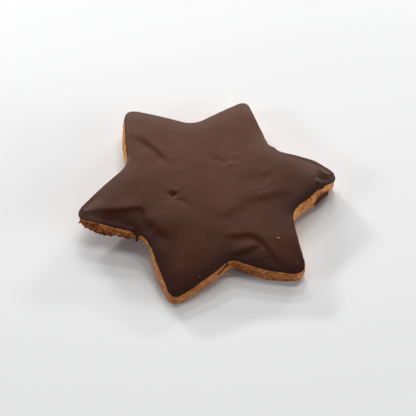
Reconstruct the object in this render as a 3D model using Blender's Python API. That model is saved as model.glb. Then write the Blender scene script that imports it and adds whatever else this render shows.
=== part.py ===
"""Six-pointed gingerbread star with a chocolate coat, as one warped biscuit and the coat that lies on it.

Run with: blender --background --python part.py
Lengths below are in millimetres and are scaled to metres when a mesh is made. +Z is up. The star rests on the
undersides of three of its tips. Its middle arches up and its left side stands clear of the table.
"""

import math

import bmesh
import bpy
import numpy as np

MM = 0.001
COLLECTION = "gingerbread_star"

# ---------------------------------------------------------------- plan of the star
# Six tips a sixth of a turn apart, with a valley halfway between each two. Baking and handling have swung
# each one by a few degrees and made it a little longer or shorter than the cutter's star.
FIRST_TIP_BEARING = 132.7
STEP = -60.0
TIP_REACH = 51.7
VALLEY_REACH = 32.2
# One row a tip, clockwise from the left back one, each with the valley that follows it. Both give: swing
# (degrees), extra reach, how far the round starts from the point, how far the edge after it bows outwards, and
# how far the foot of the wall stands out at the corner and in the middle of that edge.
TIPS = (
    ("left_back", (-1.8, 1.7, 6.7, 0.7, 0.3, 0.0), (-1.4, 0.1, 5.5, 0.2, 0.0, 0.0)),
    ("right_back", (-0.8, 0.2, 5.7, 0.0, 0.0, 0.0), (-5.1, -1.3, 6.6, 1.6, 0.0, 0.0)),
    ("right", (-5.1, 0.3, 6.4, -0.5, 0.2, 1.7), (-3.3, 0.8, 4.7, -0.4, 0.9, -0.3)),
    ("right_front", (0.9, 0.2, 5.8, 1.6, -0.2, 1.1), (2.1, 0.7, 3.1, 0.5, 0.4, 0.4)),
    ("left_front", (2.4, -1.8, 4.7, 0.0, 0.6, 1.4), (1.6, 0.1, 5.3, 0.4, -1.1, 0.1)),
    ("left", (4.0, 0.6, 5.7, 0.3, 0.1, 0.0), (2.3, 0.1, 5.5, 0.3, 0.2, 0.5)),
)
# Places where the middle of the wall stands out: x, y, spread and how far.
BELLIES = (
    (-37.0, 20.0, 10.0, 1.3),
    (-20.0, -36.0, 8.0, 0.3),
)
CORNER_POINTS = 4
EDGE_POINTS = 4

# ---------------------------------------------------------------- warp of the baked slab
# Height of the biscuit's upper face over the table at the middle, and what it gains one WARP_SPAN away.
WARP_SPAN = 50.0
LEVEL = 9.1
LEAN_X = -1.7
LEAN_Y = 1.25
ARCH_X = -0.1
TWIST = -0.8
ARCH_Y = -4.8

# ---------------------------------------------------------------- thickness
# The dough was rolled a little thicker towards the right and the back: what it gains one WARP_SPAN that way.
BISCUIT_THICKNESS = 5.8
THICKER_X = 0.4
THICKER_Y = 1.0
COAT_THICKNESS = 1.7
GAP = 0.3

# ---------------------------------------------------------------- sections, from the outline: (outwards, up)
# Wall of the biscuit: distance outwards, and height as a share of its thickness.
WALL = ((-0.8, 0.0), (-0.15, 0.05), (0.2, 0.25), (0.3, 0.5), (0.3, 0.75), (0.1, 0.93), (-0.7, 1.0))
# Underside of the coat near its rim, then its rounded edge: share of the round inwards, and height over the
# biscuit's upper face. The round is wider at the front, where the coat ran down a little and thinned.
COAT_RIM = ((-0.9, GAP), (-0.1, GAP))
COAT_EDGE = ((0.0, 0.55), (0.1, 1.05), (0.45, 1.45), (1.0, 1.65))
BACK_ROUND = 1.4
FRONT_ROUND = 2.6
# What the coat loses at a front edge, and how far in that is felt.
SHOULDER = 1.2
SHOULDER_REACH = 6.0
# Rings inside the edge, as shares of the way from the middle to the edge.
INNER_RINGS = (0.97, 0.93, 0.86, 0.78, 0.69, 0.6, 0.5, 0.4, 0.3, 0.2, 0.1)
UNDER_RINGS = (0.9, 0.75, 0.55, 0.35, 0.15)

# ---------------------------------------------------------------- relief of the coat
# Long folds and creases: start, end, half width and height. A negative height is a trough.
FOLDS = (
    ((-45.0, -12.0), (-25.0, -9.5), 2.6, 0.35),
    ((-44.0, -17.0), (-26.0, -17.5), 2.4, -0.5),
    ((-24.0, -13.0), (-21.0, -18.5), 1.8, -0.4),
    ((-21.0, -18.5), (-13.5, -25.5), 2.0, -0.35),
    ((-29.0, 25.0), (-21.2, 17.7), 1.8, -0.35),
    ((-21.2, 17.7), (-17.3, 9.8), 1.8, -0.4),
    ((5.0, -17.0), (17.0, -10.5), 2.6, -0.3),
    ((17.0, -10.5), (33.0, -6.5), 2.4, -0.3),
    ((6.0, -26.0), (17.5, -26.3), 1.7, -0.35),
    ((17.5, -26.3), (26.0, -35.0), 1.8, -0.35),
    ((9.0, -31.5), (17.5, -29.0), 1.5, -0.3),
)
# Round lumps and dents: centre, radius and height.
LUMPS = (
    ((-15.0, -14.8), 6.0, 0.6),
    ((-23.0, 14.0), 4.5, 0.25),
    ((-13.6, -5.1), 1.4, -0.5),
    ((19.5, 0.9), 5.5, -0.4),
    ((13.0, -27.8), 2.5, 0.35),
    ((-29.0, -16.6), 3.0, 0.2),
    ((-10.9, -36.5), 4.5, 0.2),
    ((44.6, 7.2), 2.0, 0.5),
    ((44.5, 4.2), 2.0, -0.5),
)


def polar(bearing, reach):
    """Plan point at a bearing in degrees, anticlockwise from +X."""
    angle = math.radians(bearing)
    return np.array((reach * math.cos(angle), reach * math.sin(angle)))


def star_corners():
    """Points of the star in order, each with its row of sizes after the reach."""
    corners = []
    for number, (_, tip, valley) in enumerate(TIPS):
        bearing = FIRST_TIP_BEARING + STEP * number
        corners.append((polar(bearing + tip[0], TIP_REACH + tip[1]), *tip[2:]))
        middle = bearing + STEP / 2
        corners.append((polar(middle + valley[0], VALLEY_REACH + valley[1]), *valley[2:]))
    return corners


def edge_point(start, end, bow, share):
    """Point at a share of the way along an edge that bows outwards in its middle."""
    along = end - start
    outward = np.array((-along[1], along[0])) / np.hypot(*along)
    return start + along * share + outward * bow * 4.0 * share * (1.0 - share)


def star_outline():
    """Closed plan outline, clockwise, with every point and valley rounded."""
    corners = star_corners()
    count = len(corners)
    outline = []
    for index in range(count):
        before, _, bow_before, _, _ = corners[index - 1]
        here, cut, bow, _, _ = corners[index]
        after, cut_after, _, _, _ = corners[(index + 1) % count]
        length_before = np.hypot(*(here - before))
        length_after = np.hypot(*(after - here))
        arrive = edge_point(before, here, bow_before, 1.0 - cut / length_before)
        leave = edge_point(here, after, bow, cut / length_after)
        for step in range(CORNER_POINTS):
            t = step / CORNER_POINTS
            outline.append((1 - t) ** 2 * arrive + 2 * t * (1 - t) * here + t * t * leave)
        first = cut / length_after
        last = 1.0 - cut_after / length_after
        for step in range(EDGE_POINTS):
            outline.append(edge_point(here, after, bow, first + (last - first) * step / EDGE_POINTS))
    return np.array(outline)


def outward_normals(outline):
    """Unit plan normals of the clockwise outline, evened out so that rings at the tips don't cross."""
    along = np.roll(outline, -1, axis=0) - np.roll(outline, 1, axis=0)
    normals = np.column_stack((-along[:, 1], along[:, 0]))
    normals /= np.linalg.norm(normals, axis=1)[:, None]
    blended = np.roll(normals, 1, axis=0) + 2.0 * normals + np.roll(normals, -1, axis=0)
    return blended / np.linalg.norm(blended, axis=1)[:, None]


def foot_lean(count):
    """How far the foot of the wall stands out at each of the outline's points."""
    corners = star_corners()
    steps = CORNER_POINTS + EDGE_POINTS
    knots = np.arange(2 * len(corners)) * steps / 2 + CORNER_POINTS / 2
    leans = [lean for corner in corners for lean in corner[3:]]
    return np.interp(np.arange(count), knots, leans, period=count)


def belly(outline):
    """How far the middle of the wall stands out at each of the outline's points."""
    total = np.zeros(len(outline))
    for x, y, spread, outwards in BELLIES:
        away = np.hypot(outline[:, 0] - x, outline[:, 1] - y)
        total += outwards * np.exp(-((away / spread) ** 2))
    return total


def front_share(normals):
    """Share to which each edge point faces the front."""
    share = np.clip(0.5 - normals[:, 1] / 0.7, 0.0, 1.0)
    return share * share * (3.0 - 2.0 * share)


def shoulder(outline, normals, plan):
    """What the coat loses at each plan point because a front edge is near."""
    front = outline[normals[:, 1] < -0.28]
    away = np.hypot(plan[:, 0, None] - front[:, 0], plan[:, 1, None] - front[:, 1])
    return SHOULDER * np.exp(-away.min(axis=1) / SHOULDER_REACH)


def upper_face(x, y):
    """Height of the biscuit's upper face over the table."""
    u = x / WARP_SPAN
    v = y / WARP_SPAN
    return LEVEL + LEAN_X * u + LEAN_Y * v + ARCH_X * u * u + TWIST * u * v + ARCH_Y * v * v


def thickness(x, y):
    """Biscuit thickness."""
    return BISCUIT_THICKNESS + THICKER_X * x / WARP_SPAN + THICKER_Y * y / WARP_SPAN


def relief(x, y):
    """Height that folds, creases, lumps and dents add to the coat."""
    height = np.zeros_like(x)
    for (ax, ay), (bx, by), half_width, amount in FOLDS:
        length_squared = (bx - ax) ** 2 + (by - ay) ** 2
        share = np.clip(((x - ax) * (bx - ax) + (y - ay) * (by - ay)) / length_squared, 0.0, 1.0)
        distance = np.hypot(x - ax - share * (bx - ax), y - ay - share * (by - ay))
        height = height + amount * np.exp(-((distance / half_width) ** 2))
    for (cx, cy), radius, amount in LUMPS:
        height = height + amount * np.exp(-((np.hypot(x - cx, y - cy) / radius) ** 2))
    return height


def ring(plan, height):
    """Rows of x, y, z from plan points and their heights."""
    return np.column_stack((plan, height))


def biscuit_rings(outline, normals):
    """Rings of the biscuit from the middle of its underside, round the wall, to its upper face's middle."""
    lean = foot_lean(len(outline))
    bulge = belly(outline)
    rings = []

    def section(plan, share_up):
        x, y = plan[:, 0], plan[:, 1]
        top = upper_face(x, y)
        return ring(plan, np.maximum(top - thickness(x, y) * (1.0 - share_up), 0.0))

    base = outline + normals * (WALL[0][0] + lean)[:, None]
    for share in reversed(UNDER_RINGS):
        rings.append(section(base * share, 0.0))
    for outwards, share_up in WALL:
        out = outwards + lean * (1.0 - share_up) + bulge * math.sin(math.pi * share_up)
        rings.append(section(outline + normals * out[:, None], share_up))
    top = outline + normals * WALL[-1][0]
    for share in UNDER_RINGS:
        rings.append(section(top * share, 1.0))
    return rings


def coat_rings(outline, normals):
    """Rings of the coat from the middle of its underside, round its edge, to the middle of its top."""
    rings = []
    inner = outline + normals * WALL[-1][0]
    for share in reversed(UNDER_RINGS):
        plan = inner * share
        rings.append(ring(plan, upper_face(plan[:, 0], plan[:, 1]) + GAP))
    for outwards, up in COAT_RIM:
        plan = outline + normals * outwards
        rings.append(ring(plan, upper_face(plan[:, 0], plan[:, 1]) + up))
    front = front_share(normals)
    width = BACK_ROUND + (FRONT_ROUND - BACK_ROUND) * front
    for inwards, up in COAT_EDGE:
        plan = outline + normals * (0.1 - width * inwards)[:, None]
        fade = (up - GAP) / COAT_THICKNESS
        change = fade * (relief(plan[:, 0], plan[:, 1]) - shoulder(outline, normals, plan))
        rings.append(ring(plan, upper_face(plan[:, 0], plan[:, 1]) + up + change))
    last = outline + normals * (0.1 - width)[:, None]
    for share in INNER_RINGS:
        plan = last * share
        change = relief(plan[:, 0], plan[:, 1]) - shoulder(outline, normals, plan)
        rings.append(ring(plan, upper_face(plan[:, 0], plan[:, 1]) + COAT_THICKNESS + change))
    return rings


def solid_from_rings(name, rings, material):
    """One closed body whose skin bridges the rings in order and closes the first and last with a fan.

    The lobed plan changes along the section, so this is a loft, which no primitive or modifier gives.
    """
    mesh = bmesh.new()
    count = len(rings[0])
    rows = [[mesh.verts.new(point * MM) for point in points] for points in rings]
    for lower, upper in zip(rows, rows[1:]):
        for index in range(count):
            after = (index + 1) % count
            mesh.faces.new((lower[index], upper[index], upper[after], lower[after]))
    for row, points in ((rows[0], rings[0]), (rows[-1], rings[-1])):
        middle = mesh.verts.new(points.mean(axis=0) * MM)
        for index in range(count):
            mesh.faces.new((row[index], row[(index + 1) % count], middle))
    bmesh.ops.recalc_face_normals(mesh, faces=mesh.faces)
    data = bpy.data.meshes.new(name)
    mesh.to_mesh(data)
    mesh.free()
    data.shade_smooth()
    data.materials.append(material)
    return bpy.data.objects.new(name, data)


def plain_material(name, colour, roughness):
    """Principled material with a base colour and a roughness."""
    material = bpy.data.materials.new(name)
    material.use_nodes = True
    shader = material.node_tree.nodes["Principled BSDF"]
    shader.inputs["Base Color"].default_value = (*colour, 1.0)
    shader.inputs["Roughness"].default_value = roughness
    shader.inputs["Metallic"].default_value = 0.0
    return material


def main():
    """Build the biscuit and its coat, with the origin under the middle of their box."""
    for item in list(bpy.data.objects):
        bpy.data.objects.remove(item, do_unlink=True)
    collection = bpy.data.collections.new(COLLECTION)
    bpy.context.scene.collection.children.link(collection)

    outline = star_outline()
    normals = outward_normals(outline)
    biscuit = biscuit_rings(outline, normals)
    coat = coat_rings(outline, normals)

    every = np.vstack(biscuit + coat)
    shift = -(every.min(axis=0) + every.max(axis=0)) / 2.0
    shift[2] = 0.0
    gingerbread = plain_material("gingerbread", (0.45, 0.2, 0.08), 0.85)
    chocolate = plain_material("chocolate", (0.07, 0.035, 0.025), 0.4)
    for name, rings, material in (
        ("gingerbread_biscuit", biscuit, gingerbread),
        ("chocolate_coat", coat, chocolate),
    ):
        collection.objects.link(solid_from_rings(name, [points + shift for points in rings], material))


main()
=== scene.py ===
"""Looks of a six-pointed gingerbread star whose upper side is coated with dark chocolate.

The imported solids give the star's box and stay hidden behind the finished pieces made here. Lengths in this
script are millimetres in the plan of the cutter's star, and become metres when a mesh is made. +Z is up.
"""

from __future__ import annotations

import logging
import math
from collections.abc import Iterator
from dataclasses import dataclass
from enum import Enum

import bmesh
import bpy
import numpy as np
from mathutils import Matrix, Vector, kdtree, noise

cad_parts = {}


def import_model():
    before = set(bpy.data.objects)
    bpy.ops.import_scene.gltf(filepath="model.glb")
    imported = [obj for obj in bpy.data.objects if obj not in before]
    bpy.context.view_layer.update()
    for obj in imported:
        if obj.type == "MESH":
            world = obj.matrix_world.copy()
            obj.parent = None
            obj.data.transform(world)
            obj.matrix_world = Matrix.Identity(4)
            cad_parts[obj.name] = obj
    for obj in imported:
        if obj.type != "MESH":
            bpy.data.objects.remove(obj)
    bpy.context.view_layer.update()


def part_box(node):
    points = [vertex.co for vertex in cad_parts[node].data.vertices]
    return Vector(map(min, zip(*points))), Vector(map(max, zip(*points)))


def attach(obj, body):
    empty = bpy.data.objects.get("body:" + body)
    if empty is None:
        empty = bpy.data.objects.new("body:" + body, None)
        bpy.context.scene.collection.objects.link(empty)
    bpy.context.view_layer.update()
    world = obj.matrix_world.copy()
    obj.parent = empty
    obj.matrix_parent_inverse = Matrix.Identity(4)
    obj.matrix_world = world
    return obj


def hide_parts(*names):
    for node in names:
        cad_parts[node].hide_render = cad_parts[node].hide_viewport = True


MM = 0.001
BISCUIT_NODE = "gingerbread_biscuit"
COAT_NODE = "chocolate_coat"
LOG = logging.getLogger("gingerbread_star")

Pair = tuple[float, float]
Triple = tuple[float, float, float]
Socket = bpy.types.NodeSocket

# Fractal noise: how fast its layers grow weaker, and how much finer each is than the one before.
NOISE_INCREMENT = 0.9
NOISE_LACUNARITY = 2.0
# Spread of the cells' middles before a value is drawn for each cell.
PORE_DRAW = 7.31
FLAKE_DRAW = 5.17
# Rings of a face that hardly shows: share of the rim's size, and step from one kept column to the next.
PLAIN_RINGS = ((0.15, 8), (0.35, 8), (0.55, 8), (0.75, 4), (0.9, 4), (0.97, 2))
# Sizes of the soft lights behind the star and beside it, in metres.
BACK_BOX = (0.56, 0.1)
SIDE_BOX = (0.9, 0.25)


# ====================================================================== small tools
def smooth_step(low: float, high: float, value: np.ndarray) -> np.ndarray:
    """Ease from 0 at low to 1 at high.

    Args:
        low: Value where the result is 0.
        high: Value where the result is 1; it may be the smaller of the two.
        value: Values to ease.

    Returns:
        Eased shares between 0 and 1.
    """
    share = np.clip((value - low) / (high - low), 0.0, 1.0)
    return share * share * (3.0 - 2.0 * share)


def mixed(amounts: tuple[float, ...], *patterns: np.ndarray) -> np.ndarray:
    """Sum of patterns, each times its amount."""
    return sum(amount * pattern for amount, pattern in zip(amounts, patterns))


def column_step(share: float, limits: tuple[tuple[float, int], ...]) -> int:
    """Step from one kept column to the next, in a ring that is drawn in to a share of its rim."""
    return next(step for limit, step in limits if share >= limit)


@dataclass(frozen=True)
class Waves:
    """Fractal noise: features per millimetre, layers, a shift that gives its pattern, and its height."""

    scale: float
    octaves: int
    seed: float
    height: float = 1.0

    def at(self, points: np.ndarray) -> np.ndarray:
        """Noise at each point.

        Args:
            points: Rows of x, y, z.

        Returns:
            One value a point, about -1 to 1 times the height.
        """
        rows = (Vector(row) for row in points * self.scale + self.seed)
        values = [noise.fractal(row, NOISE_INCREMENT, NOISE_LACUNARITY, self.octaves) for row in rows]
        return self.height * np.array(values)


@dataclass(frozen=True)
class Cells:
    """Cells scattered through the crumb: cells per millimetre, and a shift that gives their pattern."""

    scale: float
    seed: float

    def around(self, points: np.ndarray) -> Iterator[tuple[list[float], list[Vector]]]:
        """Distances from each point to the middles of the nearest cells, and those middles."""
        return (noise.voronoi(Vector(row)) for row in points * self.scale + self.seed)


@dataclass(frozen=True)
class Pores(Cells):
    """Round pores: the share of the cells that hold one, and its radius as a share of a cell."""

    share: float
    radius: float

    def depth(self, points: np.ndarray) -> np.ndarray:
        """Depth of the pores at each point.

        Args:
            points: Rows of x, y, z.

        Returns:
            One depth a point, 0 outside the pores and up to 1 at their middle.
        """
        depth = np.zeros(len(points))
        for index, (distances, centres) in enumerate(self.around(points)):
            if noise.cell(centres[0] * PORE_DRAW) * 0.5 + 0.5 < self.share:
                depth[index] = max(0.0, 1.0 - distances[0] / self.radius)
        return np.sqrt(depth)


@dataclass(frozen=True)
class Flakes(Cells):
    """Broken crumb: flakes with cracks between them, which fade out and are full at two distances."""

    crack_width: Pair = (0.3, 0.08)

    def cracks(self, points: np.ndarray) -> tuple[np.ndarray, np.ndarray]:
        """Cracks and flakes at each point.

        Args:
            points: Rows of x, y, z.

        Returns:
            How near each point is to a crack, 0 to 1, and how far its flake stands out, -1 to 1.
        """
        crack, stand = np.zeros((2, len(points)))
        for index, (distances, centres) in enumerate(self.around(points)):
            crack[index] = distances[1] - distances[0]
            stand[index] = noise.cell(centres[0] * FLAKE_DRAW)
        return smooth_step(*self.crack_width, crack), stand


def smooth_path(nodes: np.ndarray, steps: int = 5) -> np.ndarray:
    """Rounded path through the given places.

    Args:
        nodes: Rows of x, y.
        steps: Points from one place to the next.

    Returns:
        Rows of x, y.
    """
    ends = np.vstack((2 * nodes[0] - nodes[1], nodes, 2 * nodes[-1] - nodes[-2]))
    path = []
    for before, start, end, after in zip(ends, ends[1:], ends[2:], ends[3:]):
        for t in np.arange(steps) / steps:
            square = (2 * before - 5 * start + 4 * end - after) * t**2
            cube = (3 * start - before - 3 * end + after) * t**3
            path.append(start + 0.5 * ((end - before) * t + (square + cube)))
    return np.vstack((path, nodes[-1:]))


def distance_to(outline: np.ndarray, plan: np.ndarray) -> np.ndarray:
    """Distance from each plan point to the nearest point of an outline.

    Args:
        outline: Rows of x, y.
        plan: Rows of x, y to measure from.

    Returns:
        One distance a row of plan.
    """
    tree = kdtree.KDTree(len(outline))
    for index, (x, y) in enumerate(outline):
        tree.insert((x, y, 0.0), index)
    tree.balance()
    return np.array([tree.find((x, y, 0.0))[2] for x, y in plan])


# ====================================================================== plan of the star
@dataclass(frozen=True)
class Corner:
    """A tip or a valley of the star, and the edge that follows it.

    It says how far baking swung the corner and drew it out, how long its round is, how far the edge after it
    bows outwards, and how far the foot of the wall stands out at the corner and in the middle of that edge.
    """

    swing: float
    extra: float
    cut: float
    bow: float
    foot: float
    foot_after: float


@dataclass(frozen=True)
class RoundPlace:
    """A round place in the plan: where it is and how far it spreads."""

    x: float
    y: float
    spread: float

    def share(self, plan: np.ndarray, power: int = 2) -> np.ndarray:
        """Share to which each point lies in the place.

        Args:
            plan: Rows that start with x, y.
            power: How steeply the share falls at the place's rim.

        Returns:
            One share a point, 1 in the middle of the place.
        """
        away = np.hypot(plan[:, 0] - self.x, plan[:, 1] - self.y) / self.spread
        return np.exp(-(away**power))


@dataclass(frozen=True)
class Nick(RoundPlace):
    """A small place where the outline or the wall stands out or in, and how far it moves."""

    outwards: float


@dataclass(frozen=True)
class StarPlan:
    """Plan outline of the star, clockwise from its left back tip."""

    first_bearing: float = 132.7
    turn: float = -30.0
    tip_reach: float = 51.7
    valley_reach: float = 32.2
    corners: tuple[Corner, ...] = (
        Corner(-1.8, 1.7, 6.7, 0.7, 0.3, 0.0),
        Corner(-1.4, 0.1, 5.5, 0.2, 0.0, 0.0),
        Corner(-0.8, 0.2, 5.7, 0.0, 0.0, 0.0),
        Corner(-5.1, -1.3, 6.6, 1.6, 0.0, 0.0),
        Corner(-5.1, 0.3, 6.4, -0.5, 0.2, 1.7),
        Corner(-3.3, 0.8, 4.7, -0.4, 0.9, -0.3),
        Corner(0.9, 0.2, 5.8, 1.6, -0.2, 1.1),
        Corner(2.1, 0.7, 3.1, 0.5, 0.4, 0.4),
        Corner(2.4, -1.8, 4.7, 0.0, 0.6, 1.4),
        Corner(1.6, 0.1, 5.3, 0.4, -0.8, 0.1),
        Corner(4.0, 0.6, 5.7, 0.3, 0.1, 0.0),
        Corner(2.3, 0.1, 5.5, 0.3, 0.2, 0.5),
    )
    nicks: tuple[Nick, ...] = (
        Nick(23.6, 20.6, 1.0, -0.35),
        Nick(26.0, 19.8, 1.3, 0.45),
        Nick(29.5, 17.4, 3.5, -0.35),
        Nick(40.9, 12.9, 3.2, 0.4),
        Nick(46.6, 9.5, 2.6, -0.4),
    )
    bellies: tuple[Nick, ...] = (
        Nick(-37.0, 20.0, 10.0, 1.3),
        Nick(-20.0, -36.0, 8.0, 0.3),
    )
    fine_steps: int = 60

    def corner_point(self, number: int) -> np.ndarray:
        """Sharp plan point of a corner.

        Args:
            number: Place of the corner in the list, even for tips and odd for valleys.

        Returns:
            The point's x and y.
        """
        corner = self.corners[number]
        reach = (self.valley_reach if number % 2 else self.tip_reach) + corner.extra
        angle = math.radians(self.first_bearing + self.turn * number + corner.swing)
        return np.array((reach * math.cos(angle), reach * math.sin(angle)))

    @staticmethod
    def edge_point(start: np.ndarray, end: np.ndarray, bow: float, share: float) -> np.ndarray:
        """Point on an edge that bows outwards in its middle.

        Args:
            start: Corner where the edge starts.
            end: Corner where it ends.
            bow: How far its middle stands out.
            share: Share of the way along.

        Returns:
            The point's x and y.
        """
        along = end - start
        outward = np.array((-along[1], along[0])) / np.hypot(*along)
        return start + along * share + outward * bow * 4.0 * share * (1.0 - share)

    def outline(self, count: int) -> np.ndarray:
        """Closed outline with evenly spaced points.

        Args:
            count: Number of points.

        Returns:
            Rows of x, y.
        """
        corners = [self.corner_point(number) for number in range(len(self.corners))]
        path = []
        for number, here in enumerate(corners):
            before = corners[number - 1]
            after = corners[(number + 1) % len(corners)]
            corner = self.corners[number]
            following = self.corners[(number + 1) % len(corners)]
            length_before = np.hypot(*(here - before))
            length_after = np.hypot(*(after - here))
            bow_before = self.corners[number - 1].bow
            arrive = self.edge_point(before, here, bow_before, 1.0 - corner.cut / length_before)
            leave = self.edge_point(here, after, corner.bow, corner.cut / length_after)
            for step in range(self.fine_steps):
                t = step / self.fine_steps
                path.append((1 - t) ** 2 * arrive + 2 * t * (1 - t) * here + t * t * leave)
            first = corner.cut / length_after
            last = 1.0 - following.cut / length_after
            for step in range(self.fine_steps):
                share = first + (last - first) * step / self.fine_steps
                path.append(self.edge_point(here, after, corner.bow, share))
        path = np.array(path)
        closed = np.vstack((path, path[:1]))
        travelled = np.concatenate(([0.0], np.cumsum(np.hypot(*np.diff(closed, axis=0).T))))
        wanted = np.linspace(0.0, travelled[-1], count, endpoint=False)
        even = np.column_stack([np.interp(wanted, travelled, closed[:, axis]) for axis in (0, 1)])
        return self.nicked(even)

    def nicked(self, outline: np.ndarray) -> np.ndarray:
        """Outline with its small nicks and bumps.

        Args:
            outline: Rows of x, y.

        Returns:
            The moved rows.
        """
        normals = self.normals(outline)
        moved = outline.copy()
        for nick in self.nicks:
            distance = np.hypot(outline[:, 0] - nick.x, outline[:, 1] - nick.y)
            away = np.maximum(distance - distance.min(), 0.0)
            moved += normals * (nick.outwards * np.exp(-((away / nick.spread) ** 2)))[:, None]
        return moved

    def foot_lean(self, outline: np.ndarray) -> np.ndarray:
        """How far the foot of the wall stands out at each point of the outline.

        Args:
            outline: Rows of x, y.

        Returns:
            One distance a point.
        """
        knots, leans = [], []
        for number, corner in enumerate(self.corners):
            here = self.corner_point(number)
            after = self.corner_point((number + 1) % len(self.corners))
            for place, lean in ((here, corner.foot), ((here + after) / 2.0, corner.foot_after)):
                knots.append(int(np.argmin(np.hypot(*(outline - place).T))))
                leans.append(lean)
        order = np.argsort(knots)
        knots, leans = np.array(knots)[order], np.array(leans)[order]
        return np.interp(np.arange(len(outline)), knots, leans, period=len(outline))

    def belly(self, outline: np.ndarray) -> np.ndarray:
        """How far the middle of the wall stands out at each point of the outline."""
        return sum(place.outwards * place.share(outline) for place in self.bellies)

    @staticmethod
    def normals(outline: np.ndarray, blur: float = 1.2) -> np.ndarray:
        """Unit plan normals that point outwards, evened out along the outline.

        Args:
            outline: Rows of x, y, evenly spaced.
            blur: Length over which the normals are blended.

        Returns:
            Rows of x, y.
        """
        along = np.roll(outline, -1, axis=0) - np.roll(outline, 1, axis=0)
        normals = np.column_stack((-along[:, 1], along[:, 0]))
        normals /= np.linalg.norm(normals, axis=1)[:, None]
        spacing = np.hypot(*(outline[1] - outline[0]))
        reach = max(1, round(blur / spacing))
        blended = sum(np.roll(normals, shift, axis=0) for shift in range(-reach, reach + 1))
        return blended / np.linalg.norm(blended, axis=1)[:, None]


# ====================================================================== baked slab
@dataclass(frozen=True)
class BakedSlab:
    """Warp and thickness of the baked biscuit over the table."""

    span: float = 50.0
    level: float = 9.1
    lean_x: float = -1.7
    lean_y: float = 1.25
    arch_x: float = -0.1
    twist: float = -0.8
    arch_y: float = -4.8
    middle_thickness: float = 5.8
    thicker_x: float = 0.4
    thicker_y: float = 1.0

    def upper(self, plan: np.ndarray) -> np.ndarray:
        """Height of the upper face over the table.

        Args:
            plan: Rows of x, y.

        Returns:
            One height a row.
        """
        u, v = plan[:, 0] / self.span, plan[:, 1] / self.span
        lean = self.lean_x * u + self.lean_y * v
        return self.level + lean + self.arch_x * u * u + self.twist * u * v + self.arch_y * v * v

    def thickness(self, plan: np.ndarray) -> np.ndarray:
        """Thickness of the slab at each row of x, y."""
        return self.middle_thickness + (self.thicker_x * plan[:, 0] + self.thicker_y * plan[:, 1]) / self.span


# ====================================================================== lofted skin
class RingLoft:
    """Closed skin over rings of points, where a ring may have half or twice the points of the one before."""

    def __init__(self) -> None:
        """Start with no rings."""
        self.rings: list[dict[str, np.ndarray]] = []

    def add(self, step: int = 1, **values: np.ndarray | float) -> None:
        """Add a ring.

        Args:
            step: Step from one kept column to the next.
            values: Arrays of one row a column, or numbers that hold all round; "plan" is always an array, and
                the names are the same for every ring.
        """
        columns = len(values["plan"])
        filled = {
            name: np.full(columns, value) if np.isscalar(value) else value for name, value in values.items()
        }
        self.rings.append({name: value[::step] for name, value in filled.items()})

    def column(self, name: str) -> np.ndarray:
        """All the rings' rows of one name, in order."""
        return np.concatenate([ring[name] for ring in self.rings])

    def faces(self) -> list[tuple[int, ...]]:
        """Faces that bridge the rings and close both ends with a fan round one more point each.

        Returns:
            Tuples of point numbers; the two middle points come after all the rings' points.
        """
        faces: list[tuple[int, ...]] = []
        starts = np.concatenate(([0], np.cumsum([len(ring["plan"]) for ring in self.rings])))
        for number in range(len(self.rings) - 1):
            low, high = int(starts[number]), int(starts[number + 1])
            count, after = high - low, len(self.rings[number + 1]["plan"])
            if count == after:
                for i in range(count):
                    j = (i + 1) % count
                    faces.append((low + i, high + i, high + j, low + j))
                continue
            fine, coarse = (low, high) if count > after else (high, low)
            few = min(count, after)
            for i in range(few):
                j = (i + 1) % few
                first, middle, last = fine + 2 * i, fine + 2 * i + 1, fine + (2 * i + 2) % (2 * few)
                faces.append((first, coarse + i, middle))
                faces.append((middle, coarse + i, coarse + j))
                faces.append((middle, coarse + j, last))
        total = int(starts[-1])
        first_count = len(self.rings[0]["plan"])
        last_start = int(starts[-2])
        last_count = total - last_start
        faces += [(i, (i + 1) % first_count, total) for i in range(first_count)]
        faces += [(last_start + i, last_start + (i + 1) % last_count, total + 1) for i in range(last_count)]
        return faces

    def middles(self, points: np.ndarray) -> np.ndarray:
        """Middle points of the first and the last ring.

        Args:
            points: Rows of x, y, z of all the rings' points.

        Returns:
            Two rows of x, y, z.
        """
        first = points[: len(self.rings[0]["plan"])].mean(axis=0)
        last = points[-len(self.rings[-1]["plan"]):].mean(axis=0)
        return np.vstack((first, last))

    def skin(
        self,
        name: str,
        points: np.ndarray,
        shift: np.ndarray,
        material: bpy.types.Material,
        marks: dict[str, tuple[np.ndarray, float]],
    ) -> bpy.types.Object:
        """Make the object that this skin closes.

        Args:
            name: Name of the piece.
            points: Rows of x, y, z of all the rings' points.
            shift: Move from the plan to the frame's place.
            material: Finish of the piece.
            marks: Values of the rings' points and value of both middle points, by name.

        Returns:
            The new object.
        """
        whole = np.vstack((points, self.middles(points))) + shift
        filled = {mark: np.append(values, (middle, middle)) for mark, (values, middle) in marks.items()}
        return make_object(name, whole, self.faces(), material, filled)


def make_object(
    name: str,
    points: np.ndarray,
    faces: list[tuple[int, ...]],
    material: bpy.types.Material,
    marks: dict[str, np.ndarray] | None = None,
) -> bpy.types.Object:
    """Make a smooth closed mesh object.

    Args:
        name: Name of the piece.
        points: Rows of x, y, z in millimetres, in the frame's place.
        faces: Tuples of point numbers.
        material: Finish of the piece.
        marks: Values a point that the finish reads, by name.

    Returns:
        The new object, linked to the scene.
    """
    data = bpy.data.meshes.new(name)
    data.from_pydata((points * MM).tolist(), [], faces)
    shape = bmesh.new()
    shape.from_mesh(data)
    bmesh.ops.recalc_face_normals(shape, faces=shape.faces)
    shape.to_mesh(data)
    shape.free()
    for mark, values in (marks or {}).items():
        layer = data.attributes.new(mark, "FLOAT", "POINT")
        layer.data.foreach_set("value", np.asarray(values, dtype=np.float32))
    data.shade_smooth()
    data.materials.append(material)
    item = bpy.data.objects.new(name, data)
    bpy.context.scene.collection.objects.link(item)
    return item


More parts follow.
